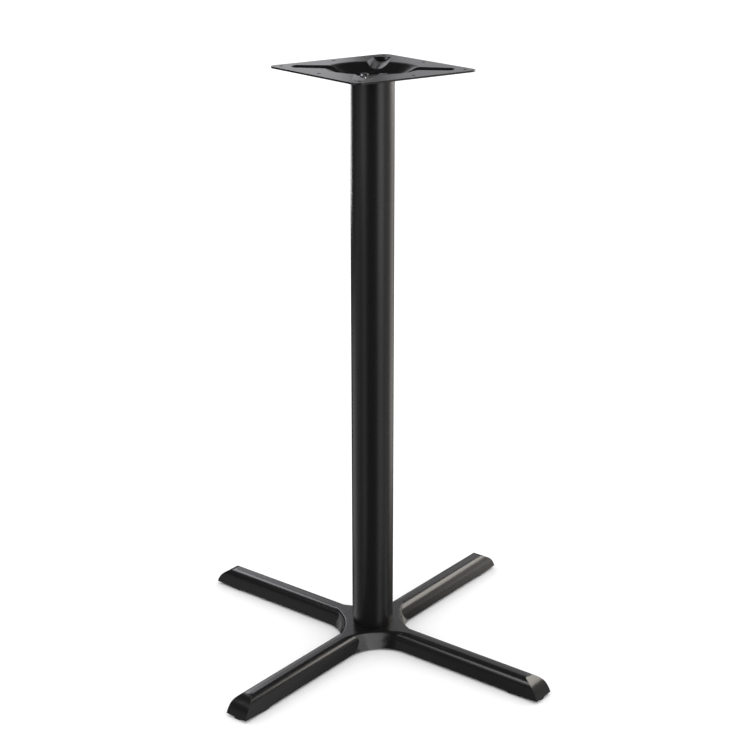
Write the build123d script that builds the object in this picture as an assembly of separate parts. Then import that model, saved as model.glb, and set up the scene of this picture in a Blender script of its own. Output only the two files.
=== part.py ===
from build123d import *
import math
import os

# A four star pedestal table base, bar height.
# A one-piece cast cross stands on four round glides. A steel tube column stands on
# its hub, held by one bolt from below. A pressed square plate with a round dish and
# four diagonal half-round troughs sits on top of the column, held by four screws, and
# carries eight holes for the table top.
# Units are millimetres, Z is up, and the origin is on the floor at the column's axis.
# The sides of the top plate lie along X and Y, and the arms are turned from them.
# The bends of the pressed plate are drawn as narrow flats.

# Overall
OVERALL_HEIGHT = 1067.0

# Cast cross
ARM_COUNT = 4
ARM_REACH = 381.0
ARM_WIDTH = 45.0
ARM_ANGLE = 14.6
ARM_DRAFT = 5.0
CROWN_HEIGHT = 35.5
SHOULDER_RADIUS = 17.5
UNDERSIDE_HEIGHT = 4.0
NOSE_RADIUS = 42.0
SKIRT_LENGTH = 59.0
SKIRT_DROP = 2.0
SKIRT_STEP_RUN = 4.0
SKIRT_RISE_RUN = 50.0
LOWER_WEB_RADIUS = 70.0
UPPER_WEB_RADIUS = 115.0
WEB_EDGE_RADIUS = 4.0
CROWN_SHARE = 0.8
CAST_WALL = 5.0
RIB_COUNT = 2
RIB_START = 130.0
RIB_PITCH = 100.0
RIB_THICKNESS = 4.0
RIB_DEPTH = 14.0
HUB_BOSS_RADIUS = 40.0
HUB_BOSS_DEPTH = 18.0
SPIGOT_HEIGHT = 4.0
SPIGOT_CLEARANCE = 0.4

# Glides under the arm tips, each pressed into a boss by its stem
GLIDE_DIAMETER = 32.0
GLIDE_HEIGHT = 5.0
GLIDE_SETBACK = 17.5
GLIDE_STEM_DIAMETER = 8.0
GLIDE_STEM_LENGTH = 15.0
GLIDE_FIN_THICKNESS = 2.0
GLIDE_BOSS_DIAMETER = 20.0

# Column
COLUMN_DIAMETER = 76.2
COLUMN_WALL = 2.5
COLUMN_PLATE_CLEARANCE = 0.1
HEAD_PLATE_THICKNESS = 8.0
FOOT_PLATE_THICKNESS = 12.0

# Bolt that holds the column to the cross
BASE_BOLT_DIAMETER = 12.0
BASE_BOLT_LENGTH = 40.0
BASE_BOLT_HEAD_FLATS = 18.0
BASE_BOLT_HEAD_HEIGHT = 7.5
WASHER_DIAMETER = 24.0
WASHER_THICKNESS = 2.5
SPRING_WASHER_DIAMETER = 21.0
SPRING_WASHER_THICKNESS = 2.5
SPRING_WASHER_SPLIT = 1.5

# Pressed top plate
PLATE_WIDTH = 254.0
PLATE_THICKNESS = 3.0
PLATE_CORNER_RADIUS = 16.0
PLATE_HOLE_MARGIN = 17.0
PLATE_HOLE_DIAMETER = 6.5
DISH_RIM_RADIUS = 80.0
DISH_FLOOR_RADIUS = 40.0
DISH_DEPTH = 16.0
DISH_BEND_RUN = 8.0
DISH_BEND_DROP = 2.0
TROUGH_COUNT = 4
TROUGH_END_MARGIN = 29.0
TROUGH_WIDTH = 40.0
TROUGH_ROUND_RADIUS = 25.0
TROUGH_END_DEPTH = 5.0
TROUGH_END_SLOPE = 30.0
TROUGH_TILT = 3.5

# Screws that hold the plate to the column
PLATE_SCREW_COUNT = 4
PLATE_SCREW_DIAMETER = 8.0
PLATE_SCREW_CIRCLE = 46.0
PLATE_SCREW_LENGTH = 14.0
PLATE_SCREW_HEAD_DIAMETER = 16.0
PLATE_SCREW_HEAD_HEIGHT = 4.2
PLATE_SCREW_CROWN_DIAMETER = 10.0
PLATE_SCREW_SOCKET = 5.0
PLATE_SCREW_SOCKET_DEPTH = 2.4

# Gaps round every fastener, on the diameter
HOLE_CLEARANCE = 1.0
WASHER_CLEARANCE = 0.5
THREAD_CLEARANCE = 0.1
STEM_CLEARANCE = 0.4
STEM_RUNOUT = 1.0

# Places that follow from the sizes above
ON_BASE = (Align.CENTER, Align.CENTER, Align.MIN)
HANGING = (Align.CENTER, Align.CENTER, Align.MAX)
dish_floor_height = OVERALL_HEIGHT - DISH_DEPTH
column_top = dish_floor_height - PLATE_THICKNESS
column_bore_radius = COLUMN_DIAMETER / 2 - COLUMN_WALL
inner_plate_radius = column_bore_radius - COLUMN_PLATE_CLEARANCE
foot_plate_height = CROWN_HEIGHT + SPIGOT_HEIGHT
boss_bottom = CROWN_HEIGHT - HUB_BOSS_DEPTH
glide_reach = ARM_REACH - GLIDE_SETBACK
glide_top = GLIDE_HEIGHT + GLIDE_STEM_LENGTH
bolt_seat = boss_bottom - WASHER_THICKNESS - SPRING_WASHER_THICKNESS
plate_half = PLATE_WIDTH / 2
trough_end = (plate_half - TROUGH_END_MARGIN) * math.sqrt(2)
nose_centre_height = CROWN_HEIGHT - NOSE_RADIUS
nose_centre_reach = ARM_REACH - math.sqrt(
    NOSE_RADIUS**2 - (GLIDE_HEIGHT - nose_centre_height) ** 2
)


def around(shape, count, start=0.0):
    """Copies of a shape, evenly spaced about the column's axis."""
    return [Rot(0, 0, start + index * 360.0 / count) * shape for index in range(count)]


def upright(radius, bottom, top, reach=0.0):
    """Upright cylinder between two heights, at a distance along X."""
    return Pos(reach, 0, bottom) * Cylinder(radius, top - bottom, align=ON_BASE)


def save(shape, name):
    """Write one piece, or one group of separate pieces, to its own file."""
    export_step(shape, os.path.join("parts", name + ".step"))


def side_half_width(inset, height):
    """Half width of an arm between its drafted sides, at a height above the floor."""
    slant = math.radians(ARM_DRAFT)
    rise = height - UNDERSIDE_HEIGHT
    return ARM_WIDTH / 2 - inset / math.cos(slant) - rise * math.tan(slant)


def crown_half_width(inset):
    """Half width of the flat strip along the top of an arm."""
    turn = math.radians(90 - ARM_DRAFT) / 2
    corner = side_half_width(inset, CROWN_HEIGHT - inset)
    return corner - (SHOULDER_RADIUS - inset) * math.tan(turn)


def arm_section(inset, foot):
    """Face across an arm, from the height foot up to its round shoulders."""
    top = CROWN_HEIGHT - inset
    wide = side_half_width(inset, foot)
    narrow = side_half_width(inset, top)
    blank = make_face(
        Polyline((-wide, foot), (wide, foot), (narrow, top), (-narrow, top), close=True)
    )
    shoulders = blank.vertices().sort_by(Axis.Y)[-2:]
    return fillet(shoulders, SHOULDER_RADIUS - inset)


def arm_side(inset, lower_edge, tip_height):
    """Face along an arm, above its lower edge, with the round nose at its end."""
    top = CROWN_HEIGHT - inset
    radius = NOSE_RADIUS - inset
    dip = tip_height - nose_centre_height
    tip = (nose_centre_reach + math.sqrt(radius**2 - dip**2), tip_height)
    halfway = (math.pi / 2 + math.asin(dip / radius)) / 2
    nose_middle = (
        nose_centre_reach + radius * math.cos(halfway),
        nose_centre_height + radius * math.sin(halfway),
    )
    outline = [
        Polyline(*lower_edge, tip),
        ThreePointArc(tip, nose_middle, (nose_centre_reach, top)),
        Polyline((nose_centre_reach, top), (0, top), lower_edge[0]),
    ]
    return make_face(outline)


def arm_block(inset, foot, lower_edge, tip_height):
    """Solid arm along X: the meeting of its section and its side view."""
    along = extrude(Plane.YZ * arm_section(inset, foot), ARM_REACH)
    across = extrude(
        Plane.XZ * arm_side(inset, lower_edge, tip_height), ARM_WIDTH, both=True
    )
    return along & across


def outer_arm():
    """Outside of one arm, with the skirt that hangs lower beside the glide."""
    skirt_start = ARM_REACH - SKIRT_LENGTH
    lowest = UNDERSIDE_HEIGHT - SKIRT_DROP
    lower_edge = [
        (0, UNDERSIDE_HEIGHT),
        (skirt_start - SKIRT_STEP_RUN, UNDERSIDE_HEIGHT),
        (skirt_start, lowest),
        (skirt_start + SKIRT_RISE_RUN, GLIDE_HEIGHT),
    ]
    return arm_block(0, lowest, lower_edge, GLIDE_HEIGHT)


def arm_cavity():
    """Hollow under one arm, open downwards, around its cross ribs and the two bosses."""
    hollow = arm_block(CAST_WALL, 0, [(0, 0)], 0)
    ceiling = CROWN_HEIGHT - CAST_WALL
    for index in range(RIB_COUNT):
        rib = Box(RIB_THICKNESS, ARM_WIDTH, RIB_DEPTH, align=HANGING)
        hollow = hollow - Pos(RIB_START + index * RIB_PITCH, 0, ceiling) * rib
    hub_boss = upright(HUB_BOSS_RADIUS, boss_bottom, CROWN_HEIGHT)
    glide_boss = upright(GLIDE_BOSS_DIAMETER / 2, GLIDE_HEIGHT, CROWN_HEIGHT, glide_reach)
    return hollow - hub_boss - glide_boss


def web_outline(half_width, radius):
    """Plan of the hub: a cross with a hollow arc in each of its inner corners."""
    reach = half_width + radius
    dip = reach - radius * math.sqrt(0.5)
    arc = ThreePointArc((reach, half_width), (dip, dip), (half_width, reach))
    end = Line((half_width, reach), (-half_width, reach))
    return make_face(around(arc, ARM_COUNT) + around(end, ARM_COUNT))


def web_edge_radius():
    """Rounding of the hub's upper edges, kept within the flat crown between two of them."""
    crown = crown_half_width(0)
    spread = side_half_width(0, UNDERSIDE_HEIGHT) - crown
    turn = math.atan2(CROWN_HEIGHT - UNDERSIDE_HEIGHT, spread)
    return min(WEB_EDGE_RADIUS, CROWN_SHARE * crown / math.tan(turn / 2))


def hub_block():
    """Drafted hub that fills the corners between the arms, with rounded upper edges."""
    low = web_outline(side_half_width(0, UNDERSIDE_HEIGHT), LOWER_WEB_RADIUS)
    high = web_outline(crown_half_width(0), UPPER_WEB_RADIUS)
    sections = [Pos(0, 0, UNDERSIDE_HEIGHT) * low, Pos(0, 0, CROWN_HEIGHT) * high]
    block = loft(sections, ruled=True)
    crown = block.faces().sort_by(Axis.Z)[-1]
    return fillet(crown.edges().filter_by(GeomType.CIRCLE), web_edge_radius())


def base_casting():
    """The cast cross, hollow underneath, with its ribs, bosses, spigot and holes."""
    outside = hub_block() + around(outer_arm(), ARM_COUNT)
    spigot = upright(column_bore_radius - SPIGOT_CLEARANCE, CROWN_HEIGHT, foot_plate_height)
    bolt_hole = upright((BASE_BOLT_DIAMETER + HOLE_CLEARANCE) / 2, 0, foot_plate_height)
    stem_hole = upright(
        (GLIDE_STEM_DIAMETER + STEM_CLEARANCE) / 2, 0, glide_top + STEM_RUNOUT, glide_reach
    )
    body = outside - around(arm_cavity(), ARM_COUNT) + spigot - bolt_hole
    body = body - around(stem_hole, ARM_COUNT)
    return Rot(0, 0, ARM_ANGLE) * body


def foot_glide():
    """Round moulded glide under the first arm's tip, with two crossed fins as its stem."""
    disc = upright(GLIDE_DIAMETER / 2, 0, GLIDE_HEIGHT)
    fin = Box(GLIDE_STEM_DIAMETER, GLIDE_FIN_THICKNESS, GLIDE_STEM_LENGTH, align=ON_BASE)
    stem = Pos(0, 0, GLIDE_HEIGHT) * (fin + Rot(0, 0, 90) * fin)
    return Rot(0, 0, ARM_ANGLE) * Pos(glide_reach, 0, 0) * (disc + stem)


def column_tube():
    """Round steel tube from the hub's crown to the underside of the dish."""
    outside = upright(COLUMN_DIAMETER / 2, CROWN_HEIGHT, column_top)
    return outside - upright(column_bore_radius, CROWN_HEIGHT, column_top)


def column_plate(bottom, top, screw_diameter, screw_circle, count):
    """Disc welded inside the tube, with its tapped holes."""
    disc = upright(inner_plate_radius, bottom, top)
    tapped = upright((screw_diameter + THREAD_CLEARANCE) / 2, bottom, top, screw_circle / 2)
    return disc - around(tapped, count)


def base_bolt():
    """Hex bolt that comes up through the hub into the column's foot plate."""
    hexagon = RegularPolygon(BASE_BOLT_HEAD_FLATS / 2, 6, major_radius=False)
    head = extrude(Pos(0, 0, bolt_seat) * hexagon, -BASE_BOLT_HEAD_HEIGHT)
    return head + upright(BASE_BOLT_DIAMETER / 2, bolt_seat, bolt_seat + BASE_BOLT_LENGTH)


def ring(diameter, bottom, top):
    """Flat ring round the base bolt."""
    hole_radius = (BASE_BOLT_DIAMETER + WASHER_CLEARANCE) / 2
    return upright(diameter / 2, bottom, top) - upright(hole_radius, bottom, top)


def spring_washer():
    """Split spring washer between the flat washer and the bolt's head."""
    split = Box(SPRING_WASHER_DIAMETER, SPRING_WASHER_SPLIT, SPRING_WASHER_THICKNESS * 2)
    whole = ring(SPRING_WASHER_DIAMETER, bolt_seat, boss_bottom - WASHER_THICKNESS)
    return whole - Pos(SPRING_WASHER_DIAMETER / 2, 0, bolt_seat) * split


def dish_outline(growth):
    """Points down one side of the dish, moved outwards from its face by a growth."""
    face = [
        (DISH_RIM_RADIUS, 0),
        (DISH_RIM_RADIUS - DISH_BEND_RUN, -DISH_BEND_DROP),
        (DISH_FLOOR_RADIUS + DISH_BEND_RUN, DISH_BEND_DROP - DISH_DEPTH),
        (DISH_FLOOR_RADIUS, -DISH_DEPTH),
    ]
    slopes = [math.atan2(a[1] - b[1], a[0] - b[0]) for a, b in zip(face, face[1:])]
    moved = []
    for (x, y), above, below in zip(face, [0, *slopes], [*slopes, 0]):
        turn = (above + below) / 2
        reach = growth / math.cos((above - below) / 2)
        moved.append((x + reach * math.sin(turn), y - reach * math.cos(turn)))
    return moved


def dish_body(growth):
    """Round dish under the plate's upper face, grown all round by a thickness."""
    side = dish_outline(growth)
    ends = [(0, side[-1][1]), (0, 0), (side[0][0], 0)]
    return revolve(Plane.XZ * make_face(Polyline(*side, *ends, close=True)), Axis.Z)


def trough_body(growth):
    """Half-round trough along X, tilted towards the dish and closed by a steep round end."""
    half_width = TROUGH_WIDTH / 2 + growth / math.cos(math.radians(TROUGH_END_SLOPE))
    end_centre = trough_end - TROUGH_WIDTH / 2
    slot = [
        Line((0, -half_width), (end_centre, -half_width)),
        ThreePointArc(
            (end_centre, -half_width), (end_centre + half_width, 0), (end_centre, half_width)
        ),
        Polyline((end_centre, half_width), (0, half_width), (0, -half_width)),
    ]
    blank = extrude(make_face(slot), -TROUGH_WIDTH / 2, taper=TROUGH_END_SLOPE)
    bar = Cylinder(TROUGH_ROUND_RADIUS + growth, trough_end * 2)
    axis_place = Pos(trough_end, 0, TROUGH_ROUND_RADIUS - TROUGH_END_DEPTH)
    return blank & (axis_place * Rot(0, 90 - TROUGH_TILT, 0) * bar)


def pressed_body(growth):
    """The dish and its troughs as one body, grown all round by a thickness."""
    troughs = around(trough_body(growth), TROUGH_COUNT, 180 / TROUGH_COUNT)
    return dish_body(growth) + troughs


def top_plate():
    """Pressed square plate, with its upper face at the overall height."""
    sheet = extrude(
        RectangleRounded(PLATE_WIDTH, PLATE_WIDTH, PLATE_CORNER_RADIUS), -PLATE_THICKNESS
    )
    plate = sheet + pressed_body(PLATE_THICKNESS) - pressed_body(0)
    spacing = plate_half - PLATE_HOLE_MARGIN
    drill = Cylinder(PLATE_HOLE_DIAMETER / 2, PLATE_THICKNESS * 4)
    corner_holes = [Pos(x, y, 0) * drill for x in (-spacing, spacing) for y in (-spacing, spacing)]
    side_holes = around(Pos(spacing, 0, 0) * drill, 4)
    screw_hole = upright(
        (PLATE_SCREW_DIAMETER + HOLE_CLEARANCE) / 2,
        -DISH_DEPTH - PLATE_THICKNESS * 2,
        0,
        PLATE_SCREW_CIRCLE / 2,
    )
    plate = plate - corner_holes - side_holes - around(screw_hole, PLATE_SCREW_COUNT)
    return Pos(0, 0, OVERALL_HEIGHT) * plate


def plate_screw():
    """Low socket screw on the dish floor, into the column's head plate."""
    top = PLATE_SCREW_HEAD_HEIGHT
    rim = PLATE_SCREW_HEAD_DIAMETER / 2
    crown = PLATE_SCREW_CROWN_DIAMETER / 2
    head = make_face(Polyline((0, 0), (rim, 0), (crown, top), (0, top), close=True))
    hexagon = RegularPolygon(PLATE_SCREW_SOCKET / 2, 6, major_radius=False)
    socket = extrude(Pos(0, 0, top) * hexagon, -PLATE_SCREW_SOCKET_DEPTH)
    shank = upright(PLATE_SCREW_DIAMETER / 2, -PLATE_SCREW_LENGTH, 0)
    screw = revolve(Plane.XZ * head, Axis.Z) + shank - socket
    return Pos(PLATE_SCREW_CIRCLE / 2, 0, dish_floor_height) * screw


os.makedirs("parts", exist_ok=True)
save(base_casting(), "base_casting")
for number, glide in enumerate(around(foot_glide(), ARM_COUNT), start=1):
    save(glide, f"foot_glide_{number}")
save(column_tube(), "column_tube")
foot_plate_top = foot_plate_height + FOOT_PLATE_THICKNESS
save(column_plate(foot_plate_height, foot_plate_top, BASE_BOLT_DIAMETER, 0, 1), "column_foot_plate")
head_plate_bottom = column_top - HEAD_PLATE_THICKNESS
save(
    column_plate(
        head_plate_bottom, column_top, PLATE_SCREW_DIAMETER, PLATE_SCREW_CIRCLE, PLATE_SCREW_COUNT
    ),
    "column_head_plate",
)
save(base_bolt(), "base_bolt")
save(ring(WASHER_DIAMETER, boss_bottom - WASHER_THICKNESS, boss_bottom), "base_washer")
save(spring_washer(), "spring_washer")
save(top_plate(), "top_plate")
save(Compound(around(plate_screw(), PLATE_SCREW_COUNT)), "top_plate_screws")
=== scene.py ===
"""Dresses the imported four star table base: finishes, rounded edges, light, floor and camera.

Lengths are in metres. The floor is at z = 0 and the column's axis is the Z axis.
"""

import logging
import math
from dataclasses import dataclass
from enum import Enum

import bpy
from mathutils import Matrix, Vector

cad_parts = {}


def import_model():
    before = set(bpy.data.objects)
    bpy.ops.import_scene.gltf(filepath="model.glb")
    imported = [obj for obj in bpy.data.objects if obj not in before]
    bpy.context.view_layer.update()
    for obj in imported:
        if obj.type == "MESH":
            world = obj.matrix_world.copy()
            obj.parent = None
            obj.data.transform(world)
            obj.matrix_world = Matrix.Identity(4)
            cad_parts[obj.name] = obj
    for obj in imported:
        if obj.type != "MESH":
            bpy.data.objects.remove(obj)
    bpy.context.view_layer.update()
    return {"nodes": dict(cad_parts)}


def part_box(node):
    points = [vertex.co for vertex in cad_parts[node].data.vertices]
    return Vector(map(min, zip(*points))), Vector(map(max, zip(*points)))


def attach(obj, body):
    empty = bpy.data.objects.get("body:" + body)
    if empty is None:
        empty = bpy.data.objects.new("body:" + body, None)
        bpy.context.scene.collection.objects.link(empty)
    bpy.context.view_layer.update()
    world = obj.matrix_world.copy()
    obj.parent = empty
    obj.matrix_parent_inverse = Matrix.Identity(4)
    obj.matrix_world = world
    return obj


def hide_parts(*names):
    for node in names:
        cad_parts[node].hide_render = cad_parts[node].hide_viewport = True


log = logging.getLogger("table_base")

MM = 0.001
MERGE_DISTANCE = 0.004 * MM
FLAT_ANGLE = 0.4
Colour = tuple[float, float, float]
WHITE: Colour = (1.0, 1.0, 1.0)
COOL: Colour = (0.97, 0.96, 1.0)
WARM: Colour = (1.0, 0.95, 0.88)


class Cut(Enum):
    """How one solid is combined with another."""

    JOIN = "UNION"
    CUT_OUT = "DIFFERENCE"


def deselect_all() -> None:
    """Leave object mode with nothing selected."""
    if bpy.context.object is not None and bpy.context.object.mode != "OBJECT":
        bpy.ops.object.mode_set(mode="OBJECT")
    bpy.ops.object.select_all(action="DESELECT")


def make_active(piece: bpy.types.Object) -> None:
    """Select one object alone and make it the active one.

    Args:
        piece: The object to work on.
    """
    deselect_all()
    piece.select_set(True)
    bpy.context.view_layer.objects.active = piece


def apply_modifier(piece: bpy.types.Object, kind: str, **settings: object) -> None:
    """Add a modifier, set it and apply it.

    Args:
        piece: The object that takes the modifier.
        kind: Blender's name for the kind of modifier.
        **settings: Values for the modifier's own properties.
    """
    modifier = piece.modifiers.new(kind.lower(), kind)
    for name, value in settings.items():
        setattr(modifier, name, value)
    make_active(piece)
    bpy.ops.object.modifier_apply(modifier=modifier.name)


def settle(piece: bpy.types.Object) -> bpy.types.Object:
    """Write an object's place into its mesh, so that it sits at the origin.

    Args:
        piece: The object to settle.

    Returns:
        The same object.
    """
    make_active(piece)
    bpy.ops.object.transform_apply(location=True, rotation=True, scale=True)
    return piece


def smooth(piece: bpy.types.Object, angle: float = 32.0) -> None:
    """Shade a piece smooth but for its sharp edges, with its large flat faces kept flat.

    Args:
        piece: The piece to shade.
        angle: The largest angle in degrees that is smoothed over.
    """
    make_active(piece)
    bpy.ops.object.shade_smooth_by_angle(angle=math.radians(angle))
    apply_modifier(piece, "WEIGHTED_NORMAL", keep_sharp=True)


def merged_copy(node: bpy.types.Object, name: str) -> bpy.types.Object:
    """Copy a CAD node, join its loose triangles and clear the extra edges off its flat faces.

    Args:
        node: The CAD node to copy, which is left as it is.
        name: The name of the copy.

    Returns:
        The copy, with its own closed mesh.
    """
    copy = bpy.data.objects.new(name, node.data.copy())
    bpy.context.scene.collection.objects.link(copy)
    copy.data.materials.clear()
    make_active(copy)
    if copy.data.has_custom_normals:
        bpy.ops.mesh.customdata_custom_splitnormals_clear()
    bpy.ops.object.mode_set(mode="EDIT")
    bpy.ops.mesh.select_all(action="SELECT")
    bpy.ops.mesh.remove_doubles(threshold=MERGE_DISTANCE)
    bpy.ops.mesh.dissolve_limited(angle_limit=math.radians(FLAT_ANGLE))
    bpy.ops.object.mode_set(mode="OBJECT")
    return copy


def soften_edges(
    piece: bpy.types.Object, width: float, angle: float = 38.0, segments: int = 2
) -> None:
    """Round every edge that is sharper than an angle.

    Args:
        piece: The piece to round.
        width: How far the rounding reaches on each side of the edge.
        angle: The smallest angle in degrees that is rounded.
        segments: How many steps the rounding has.
    """
    apply_modifier(
        piece,
        "BEVEL",
        width=width,
        segments=segments,
        limit_method="ANGLE",
        angle_limit=math.radians(angle),
        use_clamp_overlap=True,
        miter_outer="MITER_ARC",
    )


def turned_bar(
    name: str, radius: float, low: float, high: float, sides: int = 48
) -> bpy.types.Object:
    """Upright bar about the Z axis.

    Args:
        name: The bar's name.
        radius: Its radius, to its corners.
        low: The height of its lower end.
        high: The height of its upper end.
        sides: How many sides it has.

    Returns:
        The bar, with its place written into its mesh.
    """
    deselect_all()
    bpy.ops.mesh.primitive_cylinder_add(
        vertices=sides, radius=radius, depth=high - low, location=(0.0, 0.0, (low + high) / 2)
    )
    bar = bpy.context.object
    bar.name = name
    return settle(bar)


def combine(piece: bpy.types.Object, tool: bpy.types.Object, cut: Cut) -> None:
    """Join a second solid to a piece or cut it out, and remove the second solid.

    Args:
        piece: The piece that stays.
        tool: The solid that is used up.
        cut: How the two are combined.
    """
    apply_modifier(piece, "BOOLEAN", operation=cut.value, object=tool, solver="EXACT")
    bpy.data.objects.remove(tool, do_unlink=True)


class NodeSheet:
    """Builds one material by adding its nodes and their links."""

    def __init__(self, name: str) -> None:
        """Start an empty material.

        Args:
            name: The material's name.
        """
        self.material = bpy.data.materials.new(name)
        self.material.use_nodes = True
        self.nodes = self.material.node_tree.nodes
        self.links = self.material.node_tree.links
        self.nodes.clear()
        self.output = self.nodes.new("ShaderNodeOutputMaterial")
        self.shader = self.nodes.new("ShaderNodeBsdfPrincipled")
        self.links.new(self.shader.outputs["BSDF"], self.output.inputs["Surface"])
        self.coordinates = self.nodes.new("ShaderNodeTexCoord")

    def set(self, **values: float | tuple[float, ...]) -> None:
        """Set the shader's own sockets.

        Args:
            **values: Socket names, with spaces written as underscores, and their values.
        """
        for name, value in values.items():
            self.shader.inputs[name.replace("_", " ")].default_value = value

    def place(self, stretch: tuple[float, float, float] = (1.0, 1.0, 1.0)) -> bpy.types.NodeSocket:
        """Object coordinates, stretched along the axes.

        Args:
            stretch: The scale along each axis.

        Returns:
            The socket that carries the coordinates.
        """
        mapping = self.nodes.new("ShaderNodeMapping")
        mapping.inputs["Scale"].default_value = stretch
        self.links.new(self.coordinates.outputs["Object"], mapping.inputs["Vector"])
        return mapping.outputs["Vector"]

    def noise(
        self, place: bpy.types.NodeSocket, grain: float, detail: float = 2.0, rough: float = 0.5
    ) -> bpy.types.NodeSocket:
        """Cloudy noise whose patches are about one grain wide.

        Args:
            place: The coordinates to read.
            grain: The width of a patch in metres.
            detail: How many finer layers are added.
            rough: How strong the finer layers are.

        Returns:
            The socket that carries the noise.
        """
        noise = self.nodes.new("ShaderNodeTexNoise")
        noise.inputs["Scale"].default_value = 1.0 / grain
        noise.inputs["Detail"].default_value = detail
        noise.inputs["Roughness"].default_value = rough
        self.links.new(place, noise.inputs["Vector"])
        return noise.outputs["Fac"]

    def ranged(
        self,
        source: bpy.types.NodeSocket,
        low: float,
        high: float,
        start: float = 0.3,
        end: float = 0.7,
    ) -> bpy.types.NodeSocket:
        """Spread a value between two limits.

        Args:
            source: The value to spread.
            low: The result at the start.
            high: The result at the end.
            start: The source value that gives low.
            end: The source value that gives high.

        Returns:
            The socket that carries the result.
        """
        spread = self.nodes.new("ShaderNodeMapRange")
        spread.inputs["From Min"].default_value = start
        spread.inputs["From Max"].default_value = end
        spread.inputs["To Min"].default_value = low
        spread.inputs["To Max"].default_value = high
        self.links.new(source, spread.inputs["Value"])
        return spread.outputs["Result"]

    def blend(
        self, factor: bpy.types.NodeSocket, first: Colour, second: Colour
    ) -> bpy.types.NodeSocket:
        """Mix two colours by a factor.

        Args:
            factor: Nought for the first colour and one for the second.
            first: The first colour.
            second: The second colour.

        Returns:
            The socket that carries the mixed colour.
        """
        mix = self.nodes.new("ShaderNodeMix")
        mix.data_type = "RGBA"
        mix.inputs["A"].default_value = (*first, 1.0)
        mix.inputs["B"].default_value = (*second, 1.0)
        self.links.new(factor, mix.inputs["Factor"])
        return mix.outputs["Result"]

    def relief(
        self,
        height: bpy.types.NodeSocket,
        depth: float,
        strength: float,
        below: bpy.types.NodeSocket | None = None,
    ) -> bpy.types.NodeSocket:
        """Turn a height into a bumpy normal.

        Args:
            height: The height between nought and one.
            depth: The depth in metres of a height of one.
            strength: How much of the bump is used.
            below: A coarser bump that this one lies on.

        Returns:
            The socket that carries the normal.
        """
        bump = self.nodes.new("ShaderNodeBump")
        bump.inputs["Strength"].default_value = strength
        bump.inputs["Distance"].default_value = depth
        self.links.new(height, bump.inputs["Height"])
        if below is not None:
            self.links.new(below, bump.inputs["Normal"])
        return bump.outputs["Normal"]

    def join(self, **sources: bpy.types.NodeSocket) -> None:
        """Link sockets to the shader.

        Args:
            **sources: Socket names, with spaces written as underscores, and what feeds them.
        """
        for name, source in sources.items():
            self.links.new(source, self.shader.inputs[name.replace("_", " ")])


@dataclass(frozen=True)
class PowderCoat:
    """Baked black powder coat with its fine pebbled skin."""

    name: str
    dark: Colour = (0.0045, 0.0045, 0.0048)
    light: Colour = (0.0070, 0.0069, 0.0072)
    gloss: tuple[float, float] = (0.22, 0.28)
    skin_grain: float = 1.1 * MM
    skin_depth: float = 0.016 * MM
    skin_strength: float = 0.8
    wave_grain: float = 16.0 * MM
    wave_depth: float = 0.10 * MM
    wave_strength: float = 0.5
    patch_grain: float = 40.0 * MM
    reflection: float = 0.5

    def make(self) -> bpy.types.Material:
        """Build the material.

        Returns:
            The finished material.
        """
        sheet = NodeSheet(self.name)
        place = sheet.place()
        skin = sheet.noise(place, self.skin_grain, detail=3.0, rough=0.55)
        wave = sheet.noise(place, self.wave_grain, detail=2.0)
        patch = sheet.noise(place, self.patch_grain, detail=4.0, rough=0.6)
        normal = sheet.relief(wave, self.wave_depth, self.wave_strength)
        normal = sheet.relief(skin, self.skin_depth, self.skin_strength, below=normal)
        sheet.set(Specular_IOR_Level=self.reflection)
        sheet.join(
            Base_Color=sheet.blend(patch, self.dark, self.light),
            Roughness=sheet.ranged(skin, self.gloss[0], self.gloss[1]),
            Normal=normal,
        )
        return sheet.material


@dataclass(frozen=True)
class ZincPlate:
    """Bright zinc plating with fine turned lines around the Z axis."""

    name: str
    bright: Colour = (0.70, 0.71, 0.73)
    dull: Colour = (0.46, 0.47, 0.50)
    gloss: tuple[float, float] = (0.20, 0.36)
    line_width: float = 0.12 * MM
    line_stretch: tuple[float, float, float] = (0.25, 0.25, 1.0)
    line_depth: float = 0.012 * MM
    cloud_grain: float = 3.0 * MM

    def make(self) -> bpy.types.Material:
        """Build the material.

        Returns:
            The finished material.
        """
        sheet = NodeSheet(self.name)
        lines = sheet.noise(sheet.place(self.line_stretch), self.line_width, detail=2.0)
        cloud = sheet.noise(sheet.place(), self.cloud_grain, detail=4.0, rough=0.6)
        sheet.set(Metallic=1.0)
        sheet.join(
            Base_Color=sheet.blend(cloud, self.dull, self.bright),
            Roughness=sheet.ranged(cloud, self.gloss[1], self.gloss[0]),
            Normal=sheet.relief(lines, self.line_depth, 0.6),
        )
        return sheet.material


@dataclass(frozen=True)
class MouldedNylon:
    """Dull moulded nylon, a little scuffed."""

    name: str
    dark: Colour = (0.012, 0.012, 0.013)
    scuffed: Colour = (0.035, 0.035, 0.037)
    gloss: tuple[float, float] = (0.48, 0.62)
    skin_grain: float = 0.45 * MM
    skin_depth: float = 0.02 * MM
    scuff_grain: float = 4.0 * MM

    def make(self) -> bpy.types.Material:
        """Build the material.

        Returns:
            The finished material.
        """
        sheet = NodeSheet(self.name)
        place = sheet.place()
        skin = sheet.noise(place, self.skin_grain, detail=2.0)
        cloud = sheet.noise(place, self.scuff_grain, detail=5.0, rough=0.65)
        scuffs = sheet.ranged(cloud, 0.0, 1.0, start=0.45, end=0.75)
        sheet.join(
            Base_Color=sheet.blend(scuffs, self.dark, self.scuffed),
            Roughness=sheet.ranged(skin, self.gloss[0], self.gloss[1]),
            Normal=sheet.relief(skin, self.skin_depth, 0.7),
        )
        return sheet.material


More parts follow.
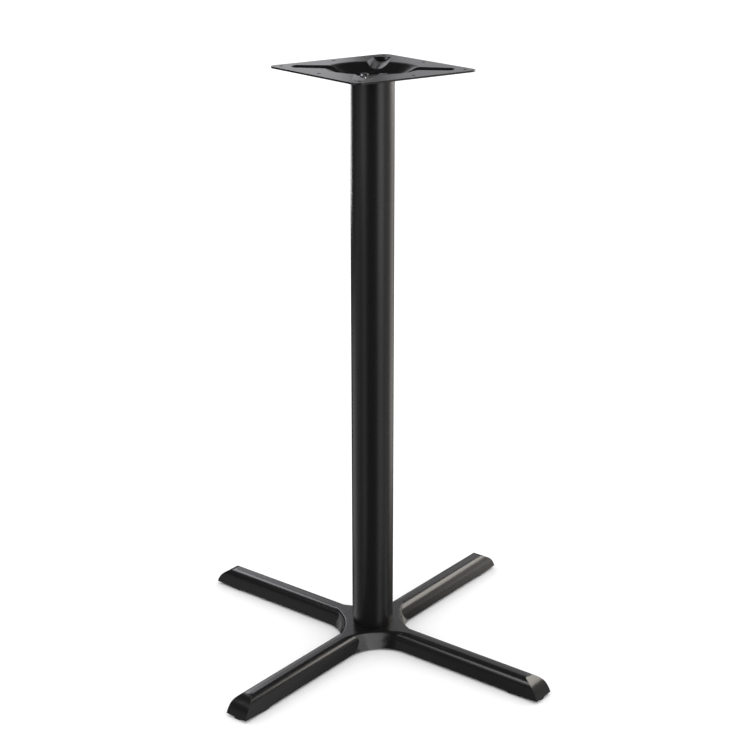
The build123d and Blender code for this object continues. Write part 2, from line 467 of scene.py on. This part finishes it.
@dataclass(frozen=True)
class MillSteel:
    """Sawn and welded steel that no one sees, under a thin dark primer."""

    name: str
    dark: Colour = (0.035, 0.033, 0.032)
    light: Colour = (0.085, 0.080, 0.076)
    gloss: tuple[float, float] = (0.42, 0.60)
    scale_grain: float = 5.0 * MM
    line_width: float = 0.5 * MM
    line_stretch: tuple[float, float, float] = (1.0, 0.1, 1.0)
    line_depth: float = 0.03 * MM

    def make(self) -> bpy.types.Material:
        """Build the material.

        Returns:
            The finished material.
        """
        sheet = NodeSheet(self.name)
        scale = sheet.noise(sheet.place(), self.scale_grain, detail=6.0, rough=0.65)
        lines = sheet.noise(sheet.place(self.line_stretch), self.line_width, detail=2.0)
        sheet.set(Metallic=0.6)
        sheet.join(
            Base_Color=sheet.blend(scale, self.dark, self.light),
            Roughness=sheet.ranged(scale, self.gloss[0], self.gloss[1]),
            Normal=sheet.relief(lines, self.line_depth, 0.6),
        )
        return sheet.material


@dataclass(frozen=True)
class Finishes:
    """Every material of the object, made once and shared."""

    casting: bpy.types.Material
    tube: bpy.types.Material
    sheet: bpy.types.Material
    zinc: bpy.types.Material
    nylon: bpy.types.Material
    steel: bpy.types.Material

    @classmethod
    def mixed(cls) -> "Finishes":
        """Make each finish from its recipe.

        Returns:
            The set of finished materials.
        """
        return cls(
            casting=PowderCoat(
                "black_cast_coat", skin_grain=1.6 * MM, skin_depth=0.012 * MM, wave_depth=0.03 * MM
            ).make(),
            tube=PowderCoat(
                "black_tube_coat", gloss=(0.30, 0.36), skin_depth=0.006 * MM, wave_depth=0.0
            ).make(),
            sheet=PowderCoat(
                "black_sheet_coat", gloss=(0.26, 0.32), skin_depth=0.002 * MM, wave_depth=0.0
            ).make(),
            zinc=ZincPlate("zinc_plate").make(),
            nylon=MouldedNylon("black_nylon").make(),
            steel=MillSteel("primed_steel").make(),
        )


def dress(
    piece: bpy.types.Object, material: bpy.types.Material, slot: str, *nodes: str
) -> bpy.types.Object:
    """Give a piece its material, hang it under the root and hide the CAD nodes that it stands for.

    Args:
        piece: The finished piece.
        material: The material for its whole surface.
        slot: Not used.
        *nodes: The CAD nodes that are hidden behind it.

    Returns:
        The same piece.
    """
    piece.data.materials.clear()
    piece.data.materials.append(material)
    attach(piece, "root")
    if nodes:
        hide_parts(*nodes)
    log.info("%s: %d faces", piece.name, len(piece.data.polygons))
    return piece


@dataclass
class CastCross:
    """The one-piece cast foot with its four arms."""

    frame_nodes: dict[str, bpy.types.Object]
    finishes: Finishes
    edge_round: float = 1.0 * MM
    round_angle: float = 24.0
    smooth_angle: float = 22.0

    def build(self) -> bpy.types.Object:
        """Round the casting's edges and coat it.

        Returns:
            The dressed casting.
        """
        cross = merged_copy(self.frame_nodes["base_casting"], "cast_cross")
        soften_edges(cross, self.edge_round, angle=self.round_angle)
        smooth(cross, angle=self.smooth_angle)
        return dress(cross, self.finishes.casting, "cast_cross", "base_casting")


@dataclass
class Column:
    """The steel tube and the two discs welded inside it."""

    frame_nodes: dict[str, bpy.types.Object]
    finishes: Finishes
    edge_round: float = 0.4 * MM

    def build(self) -> bpy.types.Object:
        """Coat the tube and prime its discs.

        Returns:
            The dressed tube.
        """
        tube = merged_copy(self.frame_nodes["column_tube"], "column")
        soften_edges(tube, self.edge_round)
        smooth(tube)
        for name in ("column_foot_plate", "column_head_plate"):
            disc = merged_copy(self.frame_nodes[name], f"{name}_disc")
            soften_edges(disc, self.edge_round)
            smooth(disc)
            dress(disc, self.finishes.steel, "column_inner_steel", name)
        return dress(tube, self.finishes.tube, "column_steel", "column_tube")


@dataclass
class TopPlate:
    """The pressed plate that carries the table top."""

    frame_nodes: dict[str, bpy.types.Object]
    finishes: Finishes
    edge_round: float = 0.5 * MM
    round_angle: float = 50.0

    def build(self) -> bpy.types.Object:
        """Ease the sheet's cut edges and coat it.

        Returns:
            The dressed plate.
        """
        plate = merged_copy(self.frame_nodes["top_plate"], "pressed_plate")
        soften_edges(plate, self.edge_round, angle=self.round_angle)
        smooth(plate)
        return dress(plate, self.finishes.sheet, "plate_steel", "top_plate")


@dataclass
class Hardware:
    """The glides under the arms, and the bolt and washers under the hub."""

    frame_nodes: dict[str, bpy.types.Object]
    finishes: Finishes
    edge_round: float = 0.3 * MM
    glide_count: int = 4
    zinc_nodes: tuple[str, ...] = ("base_bolt", "base_washer", "spring_washer")

    def eased(self, node: str, name: str) -> bpy.types.Object:
        """Copy one small piece and round its edges.

        Args:
            node: The CAD node to copy.
            name: The name of the copy.

        Returns:
            The piece, without its material.
        """
        piece = merged_copy(self.frame_nodes[node], name)
        soften_edges(piece, self.edge_round)
        smooth(piece)
        return piece

    def build(self) -> None:
        """Ease and dress every small piece."""
        for index in range(self.glide_count):
            node = f"foot_glide_{index + 1}"
            dress(self.eased(node, f"{node}_moulded"), self.finishes.nylon, "glide_nylon", node)
        for node in self.zinc_nodes:
            dress(self.eased(node, f"{node}_plated"), self.finishes.zinc, "zinc_fasteners", node)


@dataclass
class PlateScrews:
    """The four button-head socket screws on the floor of the dish."""

    finishes: Finishes
    count: int = 4
    circle_radius: float = 23.0 * MM
    head_radius: float = 8.0 * MM
    head_height: float = 4.2 * MM
    dome: float = 3.6 * MM
    dome_steps: int = 8
    socket_radius: float = 2.9 * MM
    socket_depth: float = 2.4 * MM
    shank_radius: float = 4.0 * MM
    shank_length: float = 14.0 * MM
    overlap: float = 1.0 * MM
    edge_round: float = 0.2 * MM
    round_angle: float = 50.0

    def single(self, base: float) -> bpy.types.Object:
        """Make one screw about the Z axis.

        Args:
            base: The height that its head rests on.

        Returns:
            The screw, with a domed head and a hexagonal socket.
        """
        top = base + self.head_height
        screw = turned_bar("plate_screw", self.head_radius, base, top)
        make_active(screw)
        bpy.ops.object.mode_set(mode="EDIT")
        bpy.ops.mesh.select_all(action="DESELECT")
        bpy.ops.object.mode_set(mode="OBJECT")
        for edge in screw.data.edges:
            heights = [screw.data.vertices[index].co.z for index in edge.vertices]
            edge.select = min(heights) > top - self.edge_round / 2
        bpy.ops.object.mode_set(mode="EDIT")
        bpy.ops.mesh.select_mode(type="EDGE")
        bpy.ops.mesh.bevel(offset=self.dome, segments=self.dome_steps, affect="EDGES")
        bpy.ops.object.mode_set(mode="OBJECT")
        socket = turned_bar(
            "socket", self.socket_radius, top - self.socket_depth, top + self.dome, sides=6
        )
        combine(screw, socket, Cut.CUT_OUT)
        shank = turned_bar(
            "shank", self.shank_radius, base - self.shank_length, base + self.overlap
        )
        combine(screw, shank, Cut.JOIN)
        soften_edges(screw, self.edge_round, angle=self.round_angle)
        return screw

    def build(self) -> bpy.types.Object:
        """Set the screws round the column's axis and plate them.

        Returns:
            The dressed group of screws.
        """
        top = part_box("top_plate_screws")[1][2]
        first = self.single(top - self.head_height)
        first.location.x = self.circle_radius
        settle(first)
        group = [first]
        for index in range(1, self.count):
            copy = bpy.data.objects.new(f"plate_screw_{index + 1}", first.data.copy())
            bpy.context.scene.collection.objects.link(copy)
            copy.rotation_euler.z = index * math.tau / self.count
            group.append(settle(copy))
        deselect_all()
        for screw in group:
            screw.select_set(True)
        bpy.context.view_layer.objects.active = first
        bpy.ops.object.join()
        first.name = "plate_screws_plated"
        smooth(first)
        return dress(first, self.finishes.zinc, "plate_screw_zinc", "top_plate_screws")


@dataclass(frozen=True)
class SoftBox:
    """One rectangular studio light that faces the column's axis and shows only as a sheen.

    Attributes:
        name: The light's name.
        turn: How far round from the camera it hangs, in degrees.
        reach: How far it hangs from the column's axis.
        low: The height of its lower edge. Below nought it lies behind the floor.
        high: The height of its upper edge.
        width: Its width.
        radiance: How bright its face is.
        aim: The height on the axis that it faces, or None for its own height.
        colour: The colour of its light.
        only: The name of the one piece that it lights, or None for every piece.
    """

    name: str
    turn: float
    reach: float
    low: float
    high: float
    width: float
    radiance: float
    aim: float | None = None
    colour: Colour = WHITE
    only: str | None = None

    def hang(self, toward_camera: float) -> bpy.types.Object:
        """Put the light in the scene.

        Args:
            toward_camera: The bearing of the camera in degrees, from which the turn counts.

        Returns:
            The light.
        """
        bearing = math.radians(toward_camera + self.turn)
        middle = (self.low + self.high) / 2
        place = Vector((self.reach * math.cos(bearing), self.reach * math.sin(bearing), middle))
        target = Vector((0.0, 0.0, middle if self.aim is None else self.aim))
        light = bpy.data.lights.new(self.name, "AREA")
        light.shape = "RECTANGLE"
        light.size = self.width
        light.size_y = self.high - self.low
        light.energy = self.radiance * math.pi * light.size * light.size_y
        light.color = self.colour
        box = bpy.data.objects.new(self.name, light)
        bpy.context.scene.collection.objects.link(box)
        box.location = place
        box.rotation_euler = (place - target).to_track_quat("Z", "Y").to_euler()
        box.visible_camera = False
        box.visible_diffuse = False
        if self.only is not None:
            lit = bpy.data.collections.new(f"{self.name}_lit")
            lit.objects.link(bpy.data.objects[self.only])
            box.light_linking.receiver_collection = lit
        return box


@dataclass
class Studio:
    """Camera, floor and light.

    Angles are in degrees, and the focal length is in pixels of the picture's width.
    """

    bearing: float = -127.414
    camera_distance: float = 2639.2 * MM
    camera_height: float = 1439.8 * MM
    tilt: float = 19.173
    pan: float = -0.095
    focal: float = 1561.7
    picture: int = 750
    sensor: float = 36.0
    nearest: float = 0.05
    farthest: float = 60.0
    floor_size: float = 60.0
    floor_tone: Colour = (0.88, 0.88, 0.88)
    floor_cloud: float = 0.6
    floor_spread: float = 1.01
    fill: float = 1.35
    dim: float = 0.04
    boxes: tuple[SoftBox, ...] = (
        SoftBox("back_left_panel", -163.0, 3.0, 0.4, 2.0, 1.7, 1.25, colour=COOL),
        SoftBox("back_right_panel", 165.0, 3.0, 0.4, 2.0, 1.5, 0.85, colour=COOL),
        SoftBox("rear_left_light", -148.0, 0.96, 0.5, 1.1, 0.4, 4.0, aim=0.0, colour=COOL),
        SoftBox("rear_right_light", 128.0, 1.4, 0.85, 1.45, 1.3, 6.5, aim=0.0, colour=WARM),
        SoftBox("rear_right_low_panel", 114.0, 1.05, -0.38, 0.18, 0.42, 0.42, colour=WARM),
        SoftBox("rear_right_panel", 124.0, 3.0, -1.0, 1.5, 2.4, 1.5, colour=WARM),
        SoftBox("right_side_panel", 82.0, 3.0, -1.9, 1.5, 1.3, 0.6),
        SoftBox("right_strip", 45.0, 3.0, 0.0, 1.6, 1.7, 2.0),
        SoftBox("right_low_strip", 45.0, 3.0, -2.2, 0.0, 1.7, 0.75),
        SoftBox("left_front_light", -48.0, 0.88, 0.66, 1.08, 0.5, 1.0, aim=0.4, colour=COOL),
        SoftBox("left_low_strip", -45.0, 3.0, -2.2, 0.4, 1.2, 0.55),
        SoftBox("left_side_panel", -82.0, 3.0, -2.0, 1.0, 1.6, 0.30),
        SoftBox("rear_left_low_panel", -118.0, 3.0, -2.2, -0.3, 2.2, 0.9, colour=COOL),
        SoftBox("left_high_light", -70.0, 2.0, 2.3, 3.1, 1.0, 6.0, aim=1.0),
        SoftBox("nose_light", 16.0, 1.5, -0.3, 0.3, 0.9, 2.5, only="cast_cross"),
    )

    def camera(self) -> bpy.types.Object:
        """Stand the camera where the photograph was taken from.

        Returns:
            The camera.
        """
        lens = bpy.data.cameras.new("photo_camera")
        lens.sensor_width = self.sensor
        lens.lens = self.focal / self.picture * self.sensor
        lens.clip_start = self.nearest
        lens.clip_end = self.farthest
        camera = bpy.data.objects.new("photo_camera", lens)
        bpy.context.scene.collection.objects.link(camera)
        bearing = math.radians(self.bearing)
        camera.location = (
            self.camera_distance * math.cos(bearing),
            self.camera_distance * math.sin(bearing),
            self.camera_height,
        )
        heading = bearing + math.pi + math.radians(self.pan)
        camera.rotation_euler = (math.radians(90.0 - self.tilt), 0.0, heading - math.pi / 2)
        bpy.context.scene.camera = camera
        return camera

    def floor(self) -> bpy.types.Object:
        """Lay the pale floor.

        Returns:
            The floor.
        """
        deselect_all()
        bpy.ops.mesh.primitive_plane_add(size=self.floor_size)
        floor = bpy.context.object
        floor.name = "floor"
        sheet = NodeSheet("pale_floor")
        cloud = sheet.noise(sheet.place(), self.floor_cloud, detail=3.0)
        lighter = tuple(value * self.floor_spread for value in self.floor_tone)
        sheet.set(Specular_IOR_Level=0.0, Roughness=1.0)
        sheet.join(Base_Color=sheet.blend(cloud, self.floor_tone, lighter))
        floor.data.materials.append(sheet.material)
        floor.visible_glossy = False
        return floor

    def sky(self) -> None:
        """Light every surface evenly from a white room that shows up dark in a sheen."""
        world = bpy.data.worlds.new("studio")
        bpy.context.scene.world = world
        world.use_nodes = True
        world.cycles.sampling_method = "NONE"
        nodes = world.node_tree.nodes
        links = world.node_tree.links
        nodes.clear()
        output = nodes.new("ShaderNodeOutputWorld")
        path = nodes.new("ShaderNodeLightPath")
        sheen = nodes.new("ShaderNodeBackground")
        sheen.inputs["Color"].default_value = (*WHITE, 1.0)
        sheen.inputs["Strength"].default_value = self.dim
        shown = sheen.outputs["Background"]
        for ray, strength in (("Is Diffuse Ray", self.fill), ("Is Camera Ray", 1.0)):
            room = nodes.new("ShaderNodeBackground")
            room.inputs["Color"].default_value = (*WHITE, 1.0)
            room.inputs["Strength"].default_value = strength
            mix = nodes.new("ShaderNodeMixShader")
            links.new(path.outputs[ray], mix.inputs["Fac"])
            links.new(shown, mix.inputs[1])
            links.new(room.outputs["Background"], mix.inputs[2])
            shown = mix.outputs["Shader"]
        links.new(shown, output.inputs["Surface"])

    def build(self) -> None:
        """Set up the whole studio."""
        self.camera()
        self.floor()
        self.sky()
        for box in self.boxes:
            box.hang(self.bearing)


def main() -> None:
    """Build the studio and dress the object."""
    logging.basicConfig(level=logging.INFO, format="%(message)s")
    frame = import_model()
    nodes = frame["nodes"]
    bpy.context.scene.view_settings.view_transform = "Standard"
    finishes = Finishes.mixed()
    CastCross(nodes, finishes).build()
    Column(nodes, finishes).build()
    TopPlate(nodes, finishes).build()
    Hardware(nodes, finishes).build()
    PlateScrews(finishes).build()
    Studio().build()
    bpy.context.view_layer.update()


if __name__ == "__main__":
    main()
